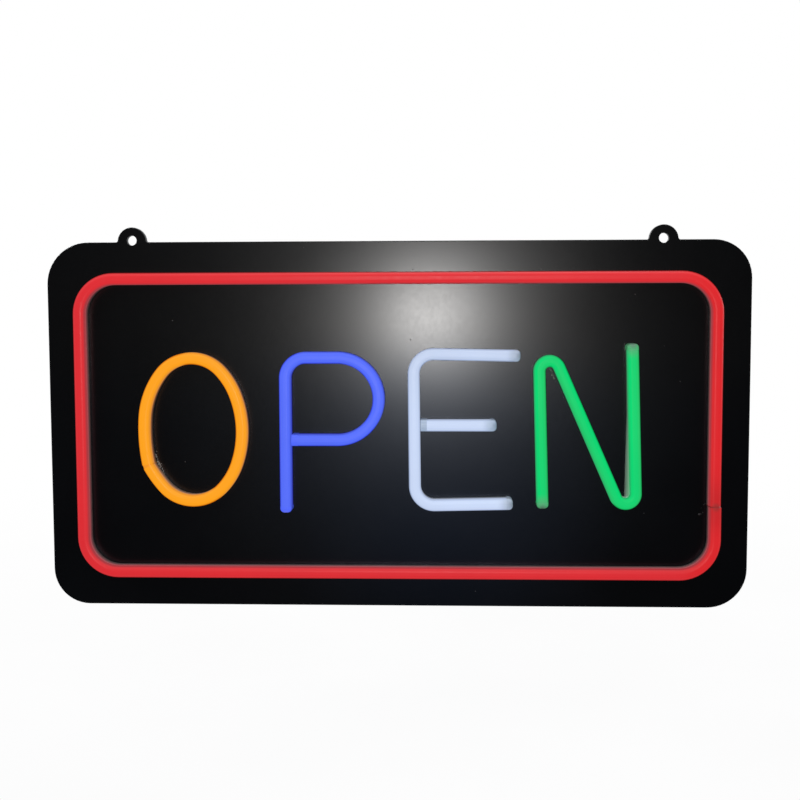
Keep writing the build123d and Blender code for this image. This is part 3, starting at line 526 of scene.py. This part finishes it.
CAP_WHITE = (0.36, 0.37, 0.39)
dress(cap_silicone("splice_grey_red", base=(0.24, 0.07, 0.07), tips=[BORDER_JOINT],
                   inner=(152, 46, 46), tip=(152, 46, 46)), "border_splice")
dress(cap_silicone("splice_orange", base=(0.34, 0.16, 0.05), tips=O_SPLICE,
                   inner=(246, 156, 36), tip=(246, 156, 36)), "letter_o_splice")
dress(cap_silicone("cap_blue", base=(0.08, 0.10, 0.30), tips=P_TIPS,
                   inner=(88, 110, 252), tip=(104, 118, 246), reach=0.003),
      "letter_p_end_caps")
dress(cap_silicone("cap_white", base=CAP_WHITE, tips=E_TIPS,
                   inner=(164, 178, 200), tip=(138, 150, 165)), "letter_e_end_caps")
dress(cap_silicone("cap_white_bar", base=CAP_WHITE, tips=BAR_TIPS,
                   inner=(163, 180, 204), tip=(136, 152, 171)), "e_bar_end_caps")
dress(cap_silicone("cap_green", base=(0.20, 0.28, 0.24), tips=N_TIPS,
                   inner=(76, 174, 116), tip=(90, 128, 106)), "letter_n_end_caps")

# ---------------------------------------------------------------------------
# small parts
# ---------------------------------------------------------------------------


def strip_film():
    """White film with faint raised patches."""
    mat = Material("strip_film_white")
    wave = mat.noise(scale=160.0, detail=1.0, vector=mat.stretched((1, 1, 1)))
    tracks = mat.ramp(wave, span=(0.48, 0.52))
    mat.set(colour=mat.mix(tracks, (0.80, 0.80, 0.77), (0.72, 0.70, 0.62)),
            rough=mat.patchy(scale=600.0, to=(0.35, 0.5)),
            normal=mat.bump(tracks, strength=0.3, depth=0.00003))
    return mat


def led_chip():
    """Lit chip, yellow and white in cells."""
    mat = Material("led_chip_lit")
    mat.set(colour=mat.mottle(mat.cells(scale=260.0), (0.86, 0.70, 0.22), (0.85, 0.84, 0.78),
                              span=(0.1, 0.5)),
            glow=(1.0, 0.93, 0.75), glow_level=1.5,
            rough=mat.patchy(scale=800.0, to=(0.2, 0.35)))
    return mat


def metal(name, start, end, rough, stretch=(1, 1, 1), scale=500.0):
    """Bare metal with a brushed noise, drawn out by `stretch`."""
    mat = Material(name)
    brush = mat.noise(scale, detail=3.0, rough=0.6, vector=mat.stretched(stretch))
    mat.set(colour=mat.mottle(brush, start, end), metal=1.0, rough=mat.vary(brush, to=rough),
            normal=mat.bump(brush, strength=0.2, depth=0.00002))
    return mat


def screw_black():
    """Black oxide steel, bright where the driver has touched the cross."""
    mat = Material("screw_black_oxide")
    patch = mat.ramp(mat.noise(scale=700.0, detail=3.0, rough=0.6), span=(0.42, 0.62))
    wear = mat.times(mat.edge(radius=0.0003, sharp=0.75, flat=0.97), by=patch)
    mat.set(colour=mat.mix(wear, (0.035, 0.035, 0.037), (0.42, 0.41, 0.39)), metal=0.9,
            rough=mat.patchy(scale=900.0, to=(0.32, 0.48)),
            normal=mat.grain(scale=1500.0, strength=0.15, depth=0.00002))
    return mat


def board_laminate():
    """Green solder mask with copper runs showing through."""
    mat = Material("board_green_mask")
    pos = mat.xyz()
    flat = mat.node("CombineXYZ", {"X": pos["X"], "Y": pos["Z"]}).outputs[0]
    tracks = mat.node("TexBrick", {"Scale": 90.0, "Mortar Size": 0.035, "Color1": BLACK,
                                   "Color2": BLACK, "Mortar": WHITE,
                                   "Vector": flat}).outputs["Color"]
    mat.set(colour=mat.mix(tracks, (0.006, 0.085, 0.03), (0.02, 0.17, 0.06)),
            rough=mat.patchy(scale=300.0, to=(0.22, 0.34)),
            normal=mat.bump(tracks, strength=0.3, depth=0.00004))
    return mat


def mottled(name, start, end, rough, scale=400.0):
    """Plain plastic with a slight mottle."""
    mat = Material(name)
    cloud = mat.noise(scale, detail=3.0, rough=0.6)
    mat.set(colour=mat.mottle(cloud, start, end), rough=mat.vary(cloud, to=rough),
            normal=mat.grain(scale * 2.5, strength=0.2, depth=0.00003))
    return mat


dress(strip_film(), *parts_ending("_led_strip"))
dress(led_chip(), *parts_ending("_led_chips"))
dress(screw_black(), "cover_screws")
dress(metal("insert_brass", (0.72, 0.50, 0.20), (0.60, 0.40, 0.15), rough=(0.25, 0.4),
            stretch=(60, 1, 60), scale=60.0), "cover_inserts")
dress(metal("nickel_plate", (0.62, 0.60, 0.56), (0.52, 0.50, 0.46), rough=(0.22, 0.36),
            stretch=(1, 1, 12), scale=300.0),
      "circuit_board_screws", "socket_nut", "socket_pin", "socket_tag", "switch_tags")
dress(metal("contact_copper", (0.78, 0.42, 0.25), (0.62, 0.32, 0.18), rough=(0.25, 0.4)),
      "switch_contact")
dress(board_laminate(), "circuit_board")
dress(mottled("resistor_black", (0.02, 0.02, 0.02), (0.035, 0.035, 0.035), rough=(0.3, 0.5),
              scale=600.0), "board_resistors")
dress(mottled("terminal_green", (0.02, 0.16, 0.06), (0.025, 0.2, 0.075), rough=(0.28, 0.4),
              scale=500.0), "board_terminals")
dress(mottled("lead_red", (0.42, 0.012, 0.012), (0.34, 0.01, 0.01), rough=(0.35, 0.5)),
      "leads_positive", "supply_lead_positive")
dress(mottled("lead_black", (0.02, 0.02, 0.02), (0.03, 0.03, 0.03), rough=(0.35, 0.5)),
      "leads_negative", "supply_lead_negative")

# ---------------------------------------------------------------------------
# dried glue beside the two splices and in the fourth letter
# ---------------------------------------------------------------------------

# x, z and radius of single blobs, in millimetres
O_SPLICE_BLOBS = [(-171.4, -28.4, 1.15), (-170.6, -30.0, 1.0), (-172.2, -26.6, 0.85),
                  (-169.9, -28.0, 0.42), (-173.0, -19.0, 0.34)]
BORDER_CRUMBS = [(215.7, -63.4, 0.75), (216.9, -62.9, 0.3), (218.3, -62.2, 0.30),
                 (218.8, -56.4, 0.4), (219.6, -55.6, 0.28), (217.0, -58.8, 0.2)]


def glue_spots(rng):
    """All blobs as (x, z, radius) in millimetres."""
    spots = []
    # along the inner foot of the round letter's splice
    for i in range(16):
        along = i / 15.0
        x = -174.5 + 6.6 * along + rng.uniform(-0.25, 0.45)
        z = -20.5 - 14.5 * along + rng.uniform(-0.4, 0.4)
        spots.append((x, z, rng.uniform(0.28, 0.62)))
    spots += O_SPLICE_BLOBS
    # smear in the notch at the top of the fourth letter
    for i in range(7):
        x = 109.3 + 0.50 * i + rng.uniform(-0.15, 0.15)
        z = 40.6 - 1.25 * i + rng.uniform(-0.3, 0.3)
        spots.append((x, z, rng.uniform(0.45, 0.8)))
    return spots + BORDER_CRUMBS


def add_blob(bm, index, spot, flatness, lean):
    """A lumpy ball pressed against the board, wider than high where lean is above 1."""
    x, z, radius = spot
    broad_shift = Vector((index * 3.1, 0.0, 7.7))
    fine_shift = Vector((0.0, index * 2.3, 1.1))
    for vert in bmesh.ops.create_icosphere(bm, subdivisions=3, radius=1.0)["verts"]:
        lump = (noise.noise(vert.co * 1.6 + broad_shift) * 0.32
                + noise.noise(vert.co * 4.1 + fine_shift) * 0.10)
        point = vert.co * (1.0 + lump)
        y = BOARD_FACE_MM - radius * flatness * 0.55 + point.y * radius * flatness
        vert.co = Vector(((x + point.x * radius * lean) / MM_PER_M, y / MM_PER_M,
                          (z + point.z * radius / lean) / MM_PER_M))


def dried_glue():
    """Greyish glue, fainter at the border's splice on the far right."""
    mat = Material("dried_glue")
    cloud = mat.noise(scale=900.0, detail=3.0, rough=0.6)
    span = (0.35, 0.65)
    pale = mat.mottle(cloud, (0.20, 0.19, 0.18), (0.42, 0.40, 0.37), span)
    faint = mat.mottle(cloud, (0.035, 0.035, 0.04), (0.07, 0.068, 0.075), span)
    mat.set(colour=mat.mix(mat.ramp(mat.xyz()["X"], span=(0.18, 0.2)), pale, faint),
            rough=mat.vary(cloud, to=(0.3, 0.55)),
            normal=mat.grain(scale=1800.0, strength=0.4, depth=0.00005, detail=3.0))
    return mat


def add_mesh(name, bm):
    """Turn a bmesh into an object in the scene."""
    mesh = bpy.data.meshes.new(name)
    bm.to_mesh(mesh)
    bm.free()
    made = bpy.data.objects.new(name, mesh)
    scene.collection.objects.link(made)
    return made


def glue_residue():
    rng = random.Random(41)
    bm = bmesh.new()
    for index, spot in enumerate(glue_spots(rng)):
        add_blob(bm, index, spot, flatness=rng.uniform(0.35, 0.6), lean=rng.uniform(0.75, 1.35))
    bmesh.ops.recalc_face_normals(bm, faces=bm.faces)
    glue = add_mesh("glue_residue", bm)
    for face in glue.data.polygons:
        face.use_smooth = True
    glue.data.materials.append(dried_glue().data)
    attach(glue, "sign")


glue_residue()

for part in nodes.values():
    part.data.set_sharp_from_angle(angle=SMOOTH_ANGLE)

# ---------------------------------------------------------------------------
# stage and light
# ---------------------------------------------------------------------------


def floor_pale():
    """Glows by itself, mottled near the middle and white far out."""
    mat = Material("studio_floor_pale")
    far = mat.ramp(mat.vector_math("LENGTH", mat.place), span=(0.5, 3.0), smooth=True)
    middle = mat.mottle(mat.noise(scale=2.5, detail=3.0),
                        (0.968, 0.968, 0.970), (0.984, 0.984, 0.986))
    # seen from above only, so the underside of the sign can be looked at
    seen = mat.math("SUBTRACT", 1.0, mat.node("NewGeometry").outputs["Backfacing"])
    mat.set(colour=BLACK, specular=0.0, rough=1.0, glow=mat.mix(far, middle, WHITE),
            glow_level=1.0, alpha=seen)
    return mat


def build_floor():
    """Round pale floor far below the hanging sign; it fades into the backdrop."""
    bm = bmesh.new()
    centre = bm.verts.new((0, 0, FLOOR_Z))
    turns = [2 * math.pi * i / FLOOR_SIDES for i in range(FLOOR_SIDES)]
    rings = [[bm.verts.new((r * math.cos(a), r * math.sin(a), FLOOR_Z)) for a in turns]
             for r in FLOOR_RINGS]
    for i in range(FLOOR_SIDES):
        bm.faces.new((centre, rings[0][i], rings[0][(i + 1) % FLOOR_SIDES]))
    for inner, outer in zip(rings, rings[1:]):
        for i in range(FLOOR_SIDES):
            after = (i + 1) % FLOOR_SIDES
            bm.faces.new((inner[i], outer[i], outer[after], inner[after]))
    ground = add_mesh("studio_floor", bm)
    ground.data.materials.append(floor_pale().data)
    ground.visible_diffuse = False
    ground.visible_glossy = False
    ground.visible_transmission = False
    ground.visible_shadow = False


def build_world():
    """White to the camera; to the sign, a soft light that depends on direction."""
    world = bpy.data.worlds.new("studio_world")
    scene.world = world
    world.use_nodes = True
    graph = Graph(world.node_tree)
    graph.tree.nodes.clear()
    direction = graph.node("TexCoord").outputs["Generated"]
    pos = graph.node("SeparateXYZ", {0: direction}).outputs
    # dim straight in front of the sign, brighter round the sides, above and behind
    sides = graph.ramp(pos["Y"], span=(-0.88, -0.30), to=(0.018, 0.32), smooth=True)
    behind = graph.ramp(pos["Y"], span=(-0.10, 0.75), to=(0.0, 0.34), smooth=True)
    above = graph.ramp(pos["Z"], span=(0.15, 0.95), to=(0.0, 0.55), smooth=True)
    lit = graph.node("Background", {"Color": (0.95, 0.98, 1.0),
                                    "Strength": graph.plus(sides, behind, above)})
    seen = graph.node("Background", {"Color": WHITE})
    by_camera = graph.node("LightPath").outputs["Is Camera Ray"]
    mixed = graph.node("MixShader", {0: by_camera, 1: lit.outputs[0], 2: seen.outputs[0]})
    graph.node("OutputWorld", {0: mixed.outputs[0]})


def add_light(name, kind, place, watts):
    data = bpy.data.lights.new(name, kind)
    data.energy = watts
    lamp = bpy.data.objects.new(name, data)
    scene.collection.objects.link(lamp)
    lamp.location = place
    return lamp


def lens_lamp():
    """Lamp beside the lens: the soft glare on the board."""
    lamp = add_light("lens_lamp", "POINT", place=(0.0137, CAMERA_PLACE[1], 0.0728), watts=6.4)
    lamp.data.shadow_soft_size = 0.006
    lamp.data.color = (1.0, 0.985, 0.97)


def disk_light(name, place, target, size, watts):
    """Round soft light aimed at a target, unseen by the camera."""
    lamp = add_light(name, "AREA", place, watts)
    lamp.data.shape = "DISK"
    lamp.data.size = size
    aim = Vector(target) - Vector(place)
    lamp.rotation_euler = aim.to_track_quat("-Z", "Y").to_euler()
    lamp.visible_camera = False


def build_camera():
    turn = (Matrix.Rotation(CAMERA_YAW, 3, "Z") @ Matrix.Rotation(CAMERA_PITCH, 3, "X")
            @ Matrix.Rotation(CAMERA_ROLL, 3, "Y"))
    right, ahead, up = turn.col
    # a camera looks along its own -Z
    axes = Matrix((right, up, -ahead)).transposed()
    data = bpy.data.cameras.new("photo_camera")
    data.sensor_width = SENSOR_WIDTH_MM
    data.lens = FOCAL_LENGTH_MM
    data.clip_start = 0.01
    data.clip_end = 50.0
    camera = bpy.data.objects.new("photo_camera", data)
    scene.collection.objects.link(camera)
    camera.matrix_world = Matrix.Translation(CAMERA_PLACE) @ axes.to_4x4()
    scene.camera = camera


build_floor()
build_world()
lens_lamp()
disk_light("soft_back_left", (-0.9, 1.1, 0.7), target=(-0.12, 0, 0.05), size=0.8, watts=17.0)
disk_light("soft_back_right", (1.3, 0.5, 0.25), target=(0.15, 0, 0), size=0.5, watts=5.5)
disk_light("soft_top", (0.1, 0.1, 1.3), target=(0, 0, 0), size=0.6, watts=5.0)
build_camera()

view = scene.view_settings
view.view_transform = "Standard"
view.look = "None"
view.exposure = 0.0
view.gamma = 1.0
